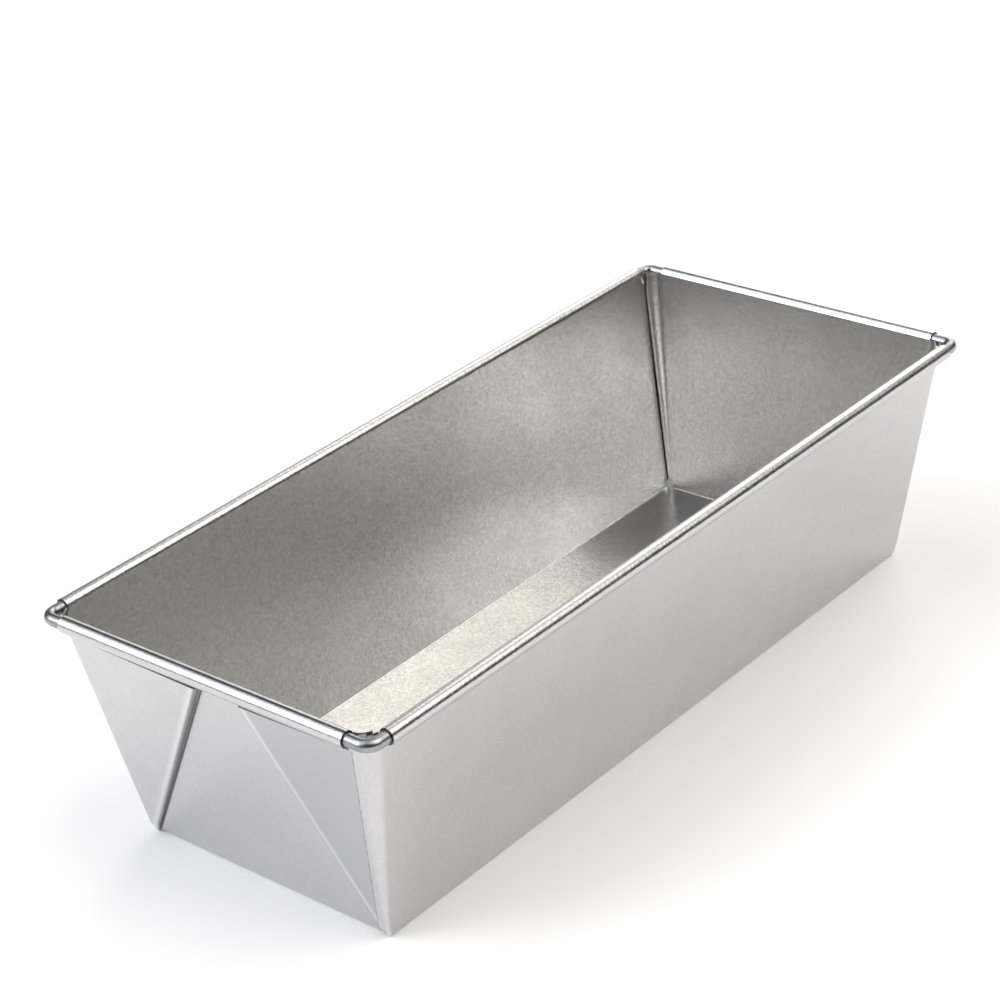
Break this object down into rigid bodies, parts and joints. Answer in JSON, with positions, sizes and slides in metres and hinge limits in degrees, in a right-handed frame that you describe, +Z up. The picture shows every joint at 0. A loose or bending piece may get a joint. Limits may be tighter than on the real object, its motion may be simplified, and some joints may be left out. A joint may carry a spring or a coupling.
{
  "type": "loaf pan",
  "caption": "Open, flared loaf tin folded from tinplate sheet, with double-ply folded ears lying on its end walls and a rim rolled over a bent steel wire.",
  "frame": {"origin": "on the surface that the tin stands on, under the middle of its floor", "axes": "+X along the tin's length, +Y across it, +Z up through the open mouth"},
  "size_m": [0.254, 0.115, 0.069],
  "materials": {
    "tinplate": "satin tinplate with a fine speckled grain",
    "rim_wire_steel": "dull grey drawn steel wire"
  },
  "bodies": {
    "root": {"folded_tin": "tinplate", "rim_wire": "rim_wire_steel"}
  },
  "joints": []
}
